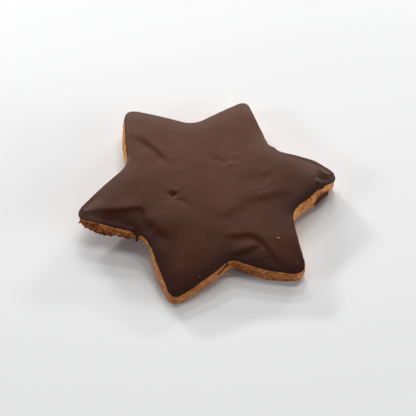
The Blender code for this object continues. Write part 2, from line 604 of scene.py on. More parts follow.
# ====================================================================== finishes
@dataclass(frozen=True)
class Grain:
    """A noise of a finish: features per metre, layers, the part of its range used, and what that gives."""

    scale: float
    detail: float
    used: Pair
    gives: Pair = (0.0, 1.0)
    stretch: Triple | None = None
    distortion: float = 0.0


class NodeSheet:
    """Short ways to lay nodes in a material."""

    def __init__(self, name: str) -> None:
        """Start a material with a Principled shader.

        Args:
            name: Name of the material.
        """
        self.material = bpy.data.materials.new(name)
        self.material.use_nodes = True
        self.nodes = self.material.node_tree.nodes
        self.links = self.material.node_tree.links
        self.shader = self.nodes["Principled BSDF"]
        self.place = self.nodes.new("ShaderNodeTexCoord").outputs["Object"]

    def fill(self, socket: Socket, value: object) -> None:
        """Set a socket, or link it to another one; None leaves it as it is.

        Args:
            socket: Socket to fill.
            value: Number, colour, vector, socket or None.
        """
        if isinstance(value, Socket):
            self.links.new(value, socket)
        elif value is not None:
            socket.default_value = (*value, 1.0) if socket.type == "RGBA" else value

    def node(self, kind: str, output: str, inputs: dict[str | int, object], **settings: str) -> Socket:
        """Add a node.

        Args:
            kind: Blender's name of the node, without "ShaderNode".
            output: Name of the output that is wanted.
            inputs: Values or sockets, by the input's name or number.
            settings: The node's own settings.

        Returns:
            The output.
        """
        node = self.nodes.new("ShaderNode" + kind)
        for name, setting in settings.items():
            setattr(node, name, setting)
        for name, value in inputs.items():
            self.fill(node.inputs[name], value)
        return node.outputs[output]

    def noise(self, scale: float, detail: float, stretch: Triple | None = None,
              distortion: float = 0.0) -> Socket:
        """Noise over the object's own place.

        Args:
            scale: Features per metre.
            detail: Layers of finer noise.
            stretch: Scales along X, Y and Z.
            distortion: How much the pattern is bent.

        Returns:
            The noise's value.
        """
        place = self.stretched(stretch)
        inputs = {"Scale": scale, "Detail": detail, "Distortion": distortion, "Vector": place}
        return self.node("TexNoise", "Fac", inputs)

    def cracks(self, scale: float, width: float, length: float, slant: float, detail: float = 2.0,
               core: float = 0.3) -> Socket:
        """Thin slanting lines.

        Args:
            scale: Lines per metre.
            width: How wide they are, as a share of the noise's range.
            length: How much longer than high the pattern is.
            slant: Turn of the pattern about Y, in radians.
            detail: Layers of finer noise.
            core: Share of the width that is the line's full middle.

        Returns:
            1 in the middle of a line, 0 beside it.
        """
        turned = {"Rotation": (0.0, slant, 0.0), "Scale": (length, length, 1.0), "Vector": self.place}
        place = self.node("Mapping", "Vector", turned, vector_type="TEXTURE")
        pattern = self.node("TexNoise", "Fac", {"Scale": scale, "Detail": detail, "Vector": place})
        away = self.math("ABSOLUTE", self.math("SUBTRACT", pattern, 0.5), 0.0)
        return self.span(away, width * core, width, 1.0, 0.0)

    def cells(self, scale: float, stretch: Triple) -> Socket:
        """Distance to the nearest of scattered points.

        Args:
            scale: Cells per metre.
            stretch: Scales along X, Y and Z.

        Returns:
            The distance.
        """
        return self.node("TexVoronoi", "Distance", {"Scale": scale, "Vector": self.stretched(stretch)})

    def stretched(self, stretch: Triple | None) -> Socket:
        """The object's place, scaled when a stretch is given.

        Args:
            stretch: Scales along X, Y and Z.

        Returns:
            The place.
        """
        if stretch is None:
            return self.place
        return self.node("Mapping", "Vector", {"Scale": stretch, "Vector": self.place})

    def mark(self, name: str) -> Socket:
        """Value that the mesh carries under a name."""
        return self.node("Attribute", "Fac", {}, attribute_name=name)

    def grain(self, grain: Grain) -> Socket:
        """Noise of a grain, mapped from the range that it uses."""
        noise_value = self.noise(grain.scale, grain.detail, grain.stretch, grain.distortion)
        return self.span(noise_value, *grain.used, *grain.gives)

    def span(self, value: Socket, low: float, high: float, to_low: float = 0.0,
             to_high: float = 1.0) -> Socket:
        """Map one range on another, clamped.

        Args:
            value: Socket to map.
            low: Start of its range.
            high: End of its range.
            to_low: Result at the start.
            to_high: Result at the end.

        Returns:
            The mapped socket.
        """
        inputs = {"Value": value, "From Min": low, "From Max": high, "To Min": to_low, "To Max": to_high}
        return self.node("MapRange", "Result", inputs)

    def blend(self, share: Socket, first: object, second: object) -> Socket:
        """Mix two colours.

        Args:
            share: Share of the second.
            first: Colour or socket.
            second: Colour or socket.

        Returns:
            The mixed colour.
        """
        node = self.nodes.new("ShaderNodeMix")
        node.data_type = "RGBA"
        sockets = [socket for socket in node.inputs if socket.enabled]
        for socket, value in zip(sockets, (share, first, second)):
            self.fill(socket, value)
        return next(socket for socket in node.outputs if socket.enabled)

    def math(self, operation: str, first: object, second: object) -> Socket:
        """Work out one number from two.

        Args:
            operation: Name of the Math node's operation.
            first: Number or socket.
            second: Number or socket.

        Returns:
            The result.
        """
        return self.node("Math", "Value", {0: first, 1: second}, operation=operation)

    def bump(self, height: Socket, depth: float, strength: float,
             under: Socket | None = None) -> Socket:
        """Bump from a height.

        Args:
            height: Height between 0 and 1.
            depth: What a height of 1 stands for, in metres.
            strength: Share of the bump that shows.
            under: Normal of a coarser bump below it.

        Returns:
            The bumped normal.
        """
        inputs = {"Distance": depth, "Strength": strength, "Height": height, "Normal": under}
        return self.node("Bump", "Normal", inputs)

    def surface(self, colour: object, roughness: object, gloss: float | None = None,
                normal: Socket | None = None) -> bpy.types.Material:
        """Set the shader.

        Args:
            colour: Colour or socket.
            roughness: Number or socket.
            gloss: Specular level, when it isn't the shader's own.
            normal: Bumped normal.

        Returns:
            The material.
        """
        inputs = {"Base Color": colour, "Roughness": roughness, "Specular IOR Level": gloss, "Normal": normal}
        for name, value in inputs.items():
            self.fill(self.shader.inputs[name], value)
        return self.material


def srgb(red: float, green: float, blue: float) -> Triple:
    """Scene-linear colour from screen values between 0 and 255."""
    return tuple(((value / 255 + 0.055) / 1.055) ** 2.4 for value in (red, green, blue))


@dataclass(frozen=True)
class ChocolateFinish:
    """Satin dark chocolate with faint bloom, soft mottling and fine grain, and with painted shade and sheen.

    It reads two marks: the distances from the front edges and from the back ones, as shares of mark_reach.
    Near the front edges, which face away from the lights behind, shade is painted over the coat and darker
    at its rim; near the back edges a greyish sheen is painted. Each edge shade says between which shares it
    fades out, and how strong it is at the edge. Each relief says its features per metre, its layers, its
    depth in metres and the share that shows.
    """

    name: str = "dark_chocolate"
    deep: Triple = srgb(80, 46, 29)
    warm: Triple = srgb(86, 50, 32)
    bloom: Triple = srgb(94, 62, 48)
    # Painted shade over the front of the coat, darker at its front rim; painted sheen near the back edges.
    front: Triple = srgb(64, 33, 22)
    rim_shade: Triple = srgb(50, 31, 28)
    back_sheen: Triple = srgb(106, 82, 74)
    mottling: Grain = Grain(90.0, 3.0, (0.3, 0.7), distortion=0.6)
    dusting: Grain = Grain(420.0, 5.0, (0.52, 0.78), (0.0, 0.45))
    # Where the painted front shade, rim shade and back sheen fade out, and how strong each is at the edge.
    front_shade: Triple = (0.05, 0.7, 0.9)
    rim_shade_reach: Triple = (0.02, 0.15, 0.6)
    back_sheen_reach: Triple = (0.02, 0.19, 0.5)
    roughness: Grain = Grain(160.0, 4.0, (0.3, 0.7), (0.5, 0.6))
    gloss: float = 0.09
    fine_relief: tuple[float, float, float, float] = (2600.0, 3.0, 0.00003, 0.5)
    ripple: tuple[float, float, float, float] = (260.0, 3.0, 0.0001, 0.45)
    mark_reach: float = 40.0

    def make(self) -> bpy.types.Material:
        """Lay the nodes.

        Returns:
            The material.
        """
        sheet = NodeSheet(self.name)
        mottle, dust = sheet.grain(self.mottling), sheet.grain(self.dusting)
        colour = sheet.blend(dust, sheet.blend(mottle, self.deep, self.warm), self.bloom)
        from_front, from_back = sheet.mark("from_front"), sheet.mark("from_back")
        # Paint shade near the front edges and sheen near the back edges.
        for distance, (full, gone, strength), shade in (
            (from_front, self.front_shade, self.front),
            (from_front, self.rim_shade_reach, self.rim_shade),
            (from_back, self.back_sheen_reach, self.back_sheen),
        ):
            colour = sheet.blend(sheet.span(distance, full, gone, strength, 0.0), colour, shade)
        normal = None
        for scale, detail, depth, strength in (self.fine_relief, self.ripple):
            normal = sheet.bump(sheet.noise(scale, detail), depth, strength, normal)
        return sheet.surface(colour, sheet.grain(self.roughness), self.gloss, normal)


@dataclass(frozen=True)
class GingerbreadFinish:
    """Baked crumb: golden where it is smooth, brown along its torn lower edge, and darker in its pores,
    cracks and pits, where shade is painted in.

    It reads five marks, all 0 to 1: torn, pore, burnt, smear, and a fifth for slits and deep cracks. The pore
    and burnt marks carry painted shade in pores, cracks and pits as well as browning; the fifth is painted
    shade alone.
    """

    name: str = "gingerbread_crumb"
    golden: Triple = srgb(220, 151, 86)
    brown: Triple = srgb(186, 112, 62)
    amber: Triple = srgb(234, 144, 62)
    fleck: Triple = srgb(236, 178, 126)
    # Dark brown: painted shade in pores, cracks and pits, the brown of torn crumb, a smear's rim and the
    # underside, and random specks.
    pore: Triple = srgb(106, 46, 22)
    # Burnt colour: the real burnt edge, and painted shade in cracks and pits.
    burnt: Triple = srgb(112, 44, 27)
    smear: Triple = srgb(80, 32, 21)
    # Painted shade inside slits and deep cracks.
    crevice_shade: Triple = srgb(40, 16, 10)
    patches: Grain = Grain(260.0, 5.0, (0.35, 0.68), stretch=(1.0, 1.0, 1.8))
    specks: Grain = Grain(1150.0, 4.0, (0.53, 0.7), (0.0, 0.75))
    flecks: Grain = Grain(900.0, 3.0, (0.55, 0.7), (0.0, 0.5), (1.0, 1.0, 2.0))
    amber_share: float = 0.85
    # Painted crack shade in torn crumb, dark slanting lines in the burnt colour: lines per metre, width,
    # length and slant; and how strong they are.
    lines: tuple[float, float, float, float] = (800.0, 0.05, 2.4, 0.6)
    line_share: float = 0.85
    roughness: float = 0.85
    gloss: float = 0.25
    # Two reliefs: features per metre, then layers or squash, depth in metres and the share that shows.
    crumbly: tuple[float, float, float, float] = (1900.0, 5.0, 0.0002, 0.8)
    cellular: tuple[float, float, float, float] = (700.0, 2.2, 0.00022, 0.7)

    def make(self) -> bpy.types.Material:
        """Lay the nodes.

        Returns:
            The material.
        """
        sheet = NodeSheet(self.name)
        colour = sheet.blend(sheet.grain(self.patches), self.golden, self.brown)
        torn = sheet.mark("torn")
        lines = sheet.math("MULTIPLY", sheet.cracks(*self.lines), torn)
        # Tones and browning, with painted shade in pores, cracks, pits and slits.
        for share, shade in (
            (sheet.math("MULTIPLY", torn, self.amber_share), self.amber),
            (sheet.grain(self.specks), self.pore),
            (sheet.grain(self.flecks), self.fleck),
            (sheet.mark("pore"), self.pore),
            (sheet.mark("burnt"), self.burnt),
            (sheet.math("MULTIPLY", lines, self.line_share), self.burnt),
            (sheet.mark("smear"), self.smear),
            (sheet.mark("crevice_shade"), self.crevice_shade),
        ):
            colour = sheet.blend(share, colour, shade)
        scale, detail, depth, strength = self.crumbly
        crumb = sheet.bump(sheet.noise(scale, detail), depth, strength)
        scale, squash, depth, strength = self.cellular
        cells = sheet.bump(sheet.cells(scale, (1.0, 1.0, squash)), depth, strength, crumb)
        return sheet.surface(colour, self.roughness, self.gloss, cells)


@dataclass(frozen=True)
class FloorFinish:
    """Plain pale table."""

    name: str = "pale_table"
    colour: Triple = (0.8, 0.8, 0.8)
    roughness: float = 0.6

    def make(self) -> bpy.types.Material:
        """Lay the shader's colour and roughness."""
        return NodeSheet(self.name).surface(self.colour, self.roughness)


# ====================================================================== biscuit
@dataclass(frozen=True)
class TornPlace(RoundPlace):
    """A stretch of the wall that is torn and browned below a share of its height, and that may hang."""

    up_to: float
    torn: float
    burnt: float
    hang: float = 0.0


@dataclass(frozen=True)
class WallSpot:
    """A pit or a chip in the wall.

    Its plan place and share of the height come first, then its half sizes along and up the wall, how far it
    stands out, and how brown it is painted; in a pit that brown is painted shade.
    """

    x: float
    y: float
    up: float
    along: float
    rise: float
    outwards: float
    brown: float


@dataclass(frozen=True)
class Slit:
    """A crack across the wall, from one plan place and share of the height to another.

    Its ends taper over a share of its length, to a share of its depth. Its sides are felt out to one multiple
    of its half width and are full at another.
    """

    start: Triple
    end: Triple
    half_width: float
    depth: float
    taper: float = 0.12
    end_depth: float = 0.25
    sides: Pair = (1.9, 0.4)


@dataclass(frozen=True)
class WallPlace:
    """Where points lie on the unrolled wall: the outline, shares of the way round it, and heights."""

    outline: np.ndarray
    along: np.ndarray
    height: np.ndarray

    def beside(self, x: float, y: float) -> np.ndarray:
        """Distance along the wall from a plan place, signed.

        Args:
            x: The place from left to right.
            y: The place from front to back.

        Returns:
            One distance a point.
        """
        length = np.hypot(*(self.outline - np.roll(self.outline, 1, axis=0)).T).sum()
        nearest = np.argmin(np.hypot(self.outline[:, 0] - x, self.outline[:, 1] - y))
        share = self.along - nearest / len(self.outline)
        return (share - np.round(share)) * length

    def near(self, x: float, y: float, height: float, half_along: float, half_rise: float) -> np.ndarray:
        """Share to which each point lies in a round spot.

        Args:
            x: The spot's place from left to right.
            y: Its place from front to back.
            height: Its height over the foot of the wall.
            half_along: Its half size along the wall.
            half_rise: Its half size up the wall.

        Returns:
            One share a point.
        """
        away = np.hypot(self.beside(x, y) / half_along, (self.height - height) / half_rise)
        return np.exp(-(away**2))

    def slit(self, slit: Slit, full_height: float) -> np.ndarray:
        """Share of a slit's full depth at each point.

        Args:
            slit: The crack.
            full_height: Height of the wall.

        Returns:
            One share a point.
        """
        across = self.beside(*slit.start[:2])
        start = np.array((0.0, slit.start[2] * full_height))
        nearest = np.argmin(np.hypot(*(self.outline - slit.end[:2]).T))
        first = np.argmin(np.hypot(*(self.outline - slit.start[:2]).T))
        run = np.hypot(*(self.outline[nearest] - self.outline[first])) * np.sign(nearest - first)
        along = np.array((run, slit.end[2] * full_height)) - start
        place = np.column_stack((across, self.height)) - start
        share = np.clip(place @ along / (along @ along), 0.0, 1.0)
        away = np.linalg.norm(place - share[:, None] * along, axis=1)
        ends = smooth_step(0.0, slit.taper, share) * smooth_step(1.0, 1.0 - slit.taper, share)
        felt, full = (slit.half_width * side for side in slit.sides)
        return smooth_step(felt, full, away) * (slit.end_depth + (1.0 - slit.end_depth) * ends)


@dataclass(frozen=True)
class CrumbRelief:
    """How far the crumb's patterns move the wall, in millimetres, and how much brown and painted shade they
    add.

    Sound wall takes coarse, medium and fine waves. Torn wall takes fine and medium waves, flakes, cracks and
    big pores; it is darkened with painted shade in its cracks and big pores, and browned a little everywhere
    and by fine waves. The burnt edge stands out by a little and by fine waves, and comes down by a little and
    by fine and medium waves. The underside takes medium waves and big pores, and follows half of the hang.
    """

    sound: Triple = (0.2, 0.1, 0.05)
    torn: tuple[float, float, float, float, float] = (0.2, 0.15, 0.2, -0.38, -0.2)
    under: Triple = (0.1, 0.25, -0.5)
    # Depth of small pores, what torn wall adds to it, and where they end below the wall's upper edge.
    pore: float = 0.28
    torn_pore: float = 0.2
    pore_top: Pair = (0.97, 0.86)
    # Burnt edge: how burnt it is where it turns ragged, how far it moves, and where it starts to come down.
    burnt_from: Pair = (0.45, 0.95)
    burnt_out: Pair = (0.15, 0.25)
    burnt_down: Triple = (0.1, 0.16, 0.2)
    down_below: Pair = (0.5, 0.05)
    # Painted shade in small pores; brown of torn crumb, with painted shade in its cracks and big pores; brown
    # of the rim round a smear and of the underside.
    pore_shade: float = 0.7
    torn_brown_and_shade: Triple = (0.42, 0.4, 0.05)
    fine_brown: float = 0.4
    halo_brown: float = 0.12
    under_brown: float = 0.3
    # Painted shade in the burnt colour, in cracks and in pits that are browner than a share; and the most
    # burnt anywhere.
    crack_shade: float = 0.6
    pit_shade: float = 0.8
    pit_shade_from: float = 0.7
    most_burnt: float = 0.9
    # Where a slit and a torn crack are painted dark as shade, and how dark the crack's painted shade is.
    slit_dark: Pair = (0.35, 0.75)
    deep_crack: Pair = (0.5, 1.0)
    crack_dark: float = 0.2
    # How far fine waves and small pores show through a smear.
    smear_fine: float = 0.5
    smear_pore: float = 0.8
    # Share of the height over which the unevenness starts at the foot.
    wall_from: float = 0.04


@dataclass
class Biscuit:
    """The gingerbread slab with its crumb wall and its underside."""

    plan: StarPlan
    slab: BakedSlab
    columns: int = 1440
    wall_rows: int = 34
    # Section of the wall: distance outwards and share of the thickness, and how often it is evened out.
    wall: tuple[Pair, ...] = (
        (-0.7, 0.0), (-0.1, 0.04), (0.2, 0.2), (0.3, 0.5), (0.3, 0.75), (0.1, 0.93), (-0.7, 1.0),
    )
    wall_passes: int = 3
    under_step: float = 0.02
    under_rim: float = 0.985
    under_columns: tuple[tuple[float, int], ...] = ((0.6, 2), (0.3, 4), (0.0, 8))
    # Patterns of the crumb; fine waves, pores and flakes are squashed, and the flakes lie in slanting layers.
    coarse: Waves = Waves(0.13, 3, 3.0)
    medium: Waves = Waves(0.55, 4, 17.0)
    fine: Waves = Waves(1.5, 4, 29.0)
    small_pores: Pores = Pores(0.85, 5.0, 0.28, 0.4)
    big_pores: Pores = Pores(0.42, 41.0, 0.35, 0.42)
    flakes: Flakes = Flakes(0.9, 61.0)
    fine_squash: float = 1.7
    pore_squash: float = 1.9
    flake_lay: tuple[Triple, ...] = (
        (0.35, 0.0, 0.75), (0.0, 0.5, 0.0), (-0.25, 0.0, 1.25),
    )
    relief: CrumbRelief = CrumbRelief()
    torn_places: tuple[TornPlace, ...] = (
        TornPlace(-41.5, -18.2, 7.5, 0.88, 1.0, 1.0, 0.9),
        TornPlace(-39.8, -19.0, 5.0, 0.88, 1.0, 1.0, 2.1),
        TornPlace(-31.5, -21.0, 5.0, 0.82, 0.8, 0.9, 0.6),
        TornPlace(17.0, -35.8, 9.0, 0.85, 0.3, 0.3),
        TornPlace(27.5, -37.8, 5.5, 0.5, 0.3, 0.4),
        TornPlace(-3.0, -42.0, 7.0, 0.4, 0.3, 0.3),
        TornPlace(-19.0, -37.0, 9.0, 0.35, 0.3, 0.4),
    )
    # Torn places have a firm rim in the plan; their ragged upper edge fades over a share of the height, and
    # their burnt edge, which is a little less ragged, between two shares.
    torn_firmness: int = 4
    torn_edge: Waves = Waves(0.45, 3, 11.0, 0.16)
    torn_fade: float = 0.15
    burnt_fade: Pair = (0.3, 0.1)
    burnt_raggedness: float = 0.8
    spots: tuple[WallSpot, ...] = (
        # splinter at the left tip
        WallSpot(-48.3, -15.6, 0.3, 0.28, 0.3, 1.3, 0.0),
        # pits in the right front wall, darkened in colour as painted shade
        WallSpot(11.3, -33.7, 0.5, 0.5, 0.35, -0.6, 0.9),
        WallSpot(12.7, -34.2, 0.62, 0.45, 0.3, -0.5, 0.9),
        WallSpot(14.2, -34.8, 0.42, 0.8, 0.35, -0.8, 1.0),
        WallSpot(15.8, -35.3, 0.36, 0.5, 0.4, -0.6, 0.9),
        WallSpot(18.2, -35.9, 0.5, 0.5, 0.4, -0.4, 0.6),
        WallSpot(23.6, -37.4, 0.2, 0.7, 0.3, -0.6, 0.9),
        WallSpot(25.6, -37.7, 0.3, 0.5, 0.3, -0.5, 0.8),
        WallSpot(28.0, -37.9, 0.25, 0.9, 0.3, -0.6, 0.9),
        WallSpot(30.0, -37.9, 0.35, 0.5, 0.3, -0.4, 0.7),
        # browner stretches of the front walls
        WallSpot(-4.0, -43.0, 0.5, 9.0, 6.0, 0.0, 0.4),
        WallSpot(15.0, -35.2, 0.5, 9.0, 6.0, 0.0, 0.12),
        # pits in the right arm's wall, darkened in colour as painted shade
        WallSpot(36.2, -7.6, 0.5, 0.35, 0.4, -0.4, 0.9),
        WallSpot(33.0, -11.0, 0.35, 0.3, 0.5, -0.3, 0.5),
    )
    slits: tuple[Slit, ...] = (
        Slit((3.1, -37.4, 0.42), (7.5, -33.2, 0.77), 0.58, 0.55),
    )
    # Smeared chocolate: plan place, half length along the wall, and the shares of the height up to which it
    # is widest and where it ends; then its thickness, its ragged rim, and where it and its brown rim fade.
    smear_place: Pair = (43.4, -1.2)
    smear_length: float = 4.4
    smear_height: Pair = (0.12, 0.66)
    smear_depth: float = 0.5
    smear_edge: Waves = Waves(0.7, 4, 53.0, 0.22)
    smear_fade: Pair = (1.05, 0.9)
    halo_fade: Pair = (1.3, 1.0)

    def wall_section(self) -> tuple[np.ndarray, np.ndarray]:
        """Smooth section of the wall.

        Returns:
            Distances outwards and shares of the height, from the foot to the top.
        """
        knots = np.array(self.wall)
        steps = np.diff(knots, axis=0) * (1.0, self.slab.middle_thickness)
        lengths = np.concatenate(([0.0], np.cumsum(np.hypot(*steps.T))))
        wanted = np.linspace(0.0, lengths[-1], self.wall_rows)
        section = [np.interp(wanted, lengths, knots[:, axis]) for axis in (0, 1)]
        for _ in range(self.wall_passes):
            for values in section:
                values[1:-1] = (values[:-2] + 2 * values[1:-1] + values[2:]) / 4
        outwards, shares = section
        return outwards, shares

    def loft(self) -> RingLoft:
        """Rings from the middle of the underside, round the wall, to the middle of the upper face.

        Returns:
            The rings, with each point's plan place, share of the height, normal, share of the way round the
            rim, and whether it is on the wall.
        """
        rim = self.plan.outline(self.columns)
        normals = self.plan.normals(rim)
        column = {"normal": normals, "along": np.arange(self.columns) / self.columns}
        loft = RingLoft()
        outwards, shares = self.wall_section()
        lean, belly = self.plan.foot_lean(rim), self.plan.belly(rim)
        foot = rim + normals * (outwards[0] + lean)[:, None]
        for share in np.arange(self.under_step * 2, self.under_rim, self.under_step):
            loft.add(column_step(share, self.under_columns), plan=foot * share, up=0.0, wall=0.0, **column)
        for distance, share in zip(outwards, shares):
            out = distance + lean * (1.0 - share) + belly * math.sin(math.pi * share)
            loft.add(plan=rim + normals * out[:, None], up=share, wall=1.0, **column)
        top = rim + normals * outwards[-1]
        for share, step in reversed(PLAIN_RINGS):
            loft.add(step, plan=top * share, up=1.0, wall=0.0, **column)
        return loft

    def build(self, shift: np.ndarray, material: bpy.types.Material) -> bpy.types.Object:
        """Make the biscuit.

        Args:
            shift: Move from the plan to the frame's place.
            material: Finish of the crumb.

        Returns:
            The biscuit.
        """
        relief = self.relief
        loft = self.loft()
        plan, up = loft.column("plan"), loft.column("up")
        wall = loft.column("wall") * smooth_step(0.0, relief.wall_from, up)
        thickness = self.slab.thickness(plan)
        points = np.column_stack((plan, self.slab.upper(plan) - thickness * (1.0 - up)))

        place = WallPlace(self.plan.outline(self.columns), loft.column("along"), up * thickness)
        torn, burnt, hang = self.tears(points, up)
        coarse, medium = self.coarse.at(points), self.medium.at(points)
        fine = self.fine.at(points * (1.0, 1.0, self.fine_squash))
        squashed = points * (1.0, 1.0, self.pore_squash)
        small_pores, big_pores = self.small_pores.depth(squashed), self.big_pores.depth(squashed)
        crack, stand = self.flakes.cracks(points @ np.array(self.flake_lay))
        smear, halo = (share * wall for share in self.smear_share(points, place, up))
        ragged = burnt * smooth_step(*relief.burnt_from, burnt)
        shown = np.sqrt(torn)
        even = np.ones(len(points))

        out = mixed(relief.sound, coarse, medium, fine)
        out -= (relief.pore + relief.torn_pore * torn) * small_pores * smooth_step(*relief.pore_top, up)
        out += torn * mixed(relief.torn, fine, medium, stand, crack, big_pores)
        out += ragged * mixed(relief.burnt_out, even, fine)
        # Painted shade in small pores, cracks and big pores, with the brown of torn crumb.
        torn_brown_and_shade = mixed(relief.torn_brown_and_shade, crack, big_pores, even) + relief.fine_brown * fine
        brown = relief.pore_shade * small_pores + shown * torn_brown_and_shade
        crack_and_pit_shade = relief.crack_shade * shown * crack
        height = self.slab.middle_thickness
        # In a pit the spot's brown is painted shade; on a stretch with no depth it is a browner tone.
        for spot in self.spots:
            near = place.near(spot.x, spot.y, spot.up * height, spot.along, spot.rise)
            out += spot.outwards * near
            brown = np.maximum(brown, spot.brown * near)
            crack_and_pit_shade = np.maximum(crack_and_pit_shade, relief.pit_shade * near * (spot.brown > relief.pit_shade_from))
        # Painted shade inside the slits.
        dark = np.zeros(len(points))
        for slit in self.slits:
            cut = place.slit(slit, height)
            out -= slit.depth * cut
            dark = np.maximum(dark, smooth_step(*relief.slit_dark, cut))
        out += self.smear_depth * smear * (1.0 + relief.smear_fine * fine - relief.smear_pore * small_pores)
        out *= wall
        points[:, :2] += loft.column("normal") * out[:, None]
        down = hang + ragged * mixed(relief.burnt_down, even, fine, medium)
        points[:, 2] -= wall * smooth_step(*relief.down_below, up) * down
        under = (1.0 - loft.column("wall")) * (up < 0.5)
        points[:, 2] += under * mixed(relief.under, medium, big_pores, hang)
        points[:, 2] = np.maximum(points[:, 2], 0.0)

        # Painted shade in the deepest torn cracks.
        deep_cracks = relief.crack_dark * torn * smooth_step(*relief.deep_crack, crack)
        # The pore and burnt marks carry painted shade in pores, cracks and pits besides browning; the mark of
        # slits and deep cracks is painted shade alone.
        marks = {
            "pore": np.clip((brown + relief.halo_brown * halo) * wall + relief.under_brown * under, 0.0, 1.0),
            "burnt": np.clip(np.maximum(burnt, crack_and_pit_shade) * relief.most_burnt, 0.0, 1.0),
            "crevice_shade": np.maximum(dark, deep_cracks) * wall,
            "smear": smear,
            "torn": shown * wall,
        }
        filled = {name: (values, 0.0) for name, values in marks.items()}
        return loft.skin("gingerbread_crumb_slab", points, shift, material, filled)

    def tears(self, points: np.ndarray, up: np.ndarray) -> tuple[np.ndarray, np.ndarray, np.ndarray]:
        """Share to which each point is torn and burnt, and how far it hangs.

        Args:
            points: Rows of x, y, z.
            up: Shares of the height.

        Returns:
            Three values a point.
        """
        torn, burnt, hang = np.zeros((3, len(points)))
        edge = self.torn_edge.at(points)
        burnt_share = smooth_step(*self.burnt_fade, up + edge * self.burnt_raggedness)
        for place in self.torn_places:
            near = place.share(points, self.torn_firmness)
            torn_share = smooth_step(place.up_to, place.up_to - self.torn_fade, up + edge)
            torn = np.maximum(torn, place.torn * near * torn_share)
            burnt = np.maximum(burnt, place.burnt * near * burnt_share)
            hang = np.maximum(hang, place.hang * near)
        return torn, burnt, hang

    def smear_share(
        self, points: np.ndarray, place: WallPlace, up: np.ndarray,
    ) -> tuple[np.ndarray, np.ndarray]:
        """Chocolate smeared on the wall.

        Args:
            points: Rows of x, y, z.
            place: The points' places on the wall.
            up: Shares of the height.

        Returns:
            Shares of the smear and of the browned rim round it.
        """
        widest, end = self.smear_height
        along = place.beside(*self.smear_place) / self.smear_length
        height = np.maximum(up - widest, 0.0) / (end - widest)
        ragged = np.hypot(along, height) + self.smear_edge.at(points)
        return smooth_step(*self.smear_fade, ragged), smooth_step(*self.halo_fade, ragged)


# ====================================================================== chocolate coat
class FoldKind(Enum):
    """How a fold shapes the coat along its path."""

    RIDGE = "ridge"
    TROUGH = "trough"
    STEP = "step"


@dataclass(frozen=True)
class Fold:
    """A fold in the coat: its path, how wide and high it is, and how far a step is felt on both sides.

    It fades over a share of its length at both ends; a ridge or a trough keeps a share of its height there.
    """

    kind: FoldKind
    path: tuple[Pair, ...]
    width: float
    height: float
    felt: float = 4.0
    fade: float = 0.25
    end_height: float = 0.15

    def lift(self, plan: np.ndarray) -> np.ndarray:
        """Height that the fold adds.

        Args:
            plan: Rows of x, y.

        Returns:
            One height a row. A step is high on the left of its path and low on the right.
        """
        x, y = plan[:, 0], plan[:, 1]
        nodes = smooth_path(np.array(self.path))
        lengths = np.hypot(*np.diff(nodes, axis=0).T)
        total = lengths.sum()
        best = np.full(len(x), 1e9)
        side = np.zeros(len(x))
        share = np.zeros(len(x))
        travelled = 0.0
        for start, end, length in zip(nodes, nodes[1:], lengths):
            along = (end - start) / length
            raw = (x - start[0]) * along[0] + (y - start[1]) * along[1]
            kept = np.clip(raw, 0.0, length)
            away = np.hypot(x - start[0] - kept * along[0], y - start[1] - kept * along[1])
            cross = along[0] * (y - start[1]) - along[1] * (x - start[0])
            nearer = away < best
            best = np.where(nearer, away, best)
            side = np.where(nearer, np.sign(cross), side)
            share = np.where(nearer, (travelled + kept) / total, share)
            travelled += length
        ends = smooth_step(0.0, self.fade, share) * smooth_step(1.0, 1.0 - self.fade, share)
        if self.kind is FoldKind.STEP:
            shape = np.tanh(side * best / self.width) * np.exp(-((best / self.felt) ** 2))
        else:
            shape = np.exp(-((best / self.width) ** 2))
            ends = self.end_height + (1.0 - self.end_height) * ends
        sign = -1.0 if self.kind is FoldKind.TROUGH else 1.0
        return sign * self.height * ends * shape


@dataclass(frozen=True)
class Lump:
    """A round lump or dent in the coat: middle, radii, bearing of the long one, height and steepness."""

    x: float
    y: float
    long: float
    short: float
    bearing: float
    height: float
    steep: float = 2.0

    def lift(self, plan: np.ndarray) -> np.ndarray:
        """Height that the lump adds.

        Args:
            plan: Rows of x, y.

        Returns:
            One height a row.
        """
        angle = math.radians(self.bearing)
        x, y = plan[:, 0] - self.x, plan[:, 1] - self.y
        along = x * math.cos(angle) + y * math.sin(angle)
        across = -x * math.sin(angle) + y * math.cos(angle)
        return self.height * np.exp(-(np.hypot(along / self.long, across / self.short) ** self.steep))


@dataclass(frozen=True)
class Lobe(RoundPlace):
    """A place where the coat's rim hangs over the wall, and how far; below 0 it is lifted there."""

    drop: float


@dataclass(frozen=True)
class SheenPlace(RoundPlace):
    """A place where more sheen and less front shade are painted on the coat.

    It says what is added to the distance from the front edges there, and the share that is kept of the
    distance from the back ones.
    """

    added: float
    kept: float


STEP, RIDGE, TROUGH = FoldKind.STEP, FoldKind.RIDGE, FoldKind.TROUGH


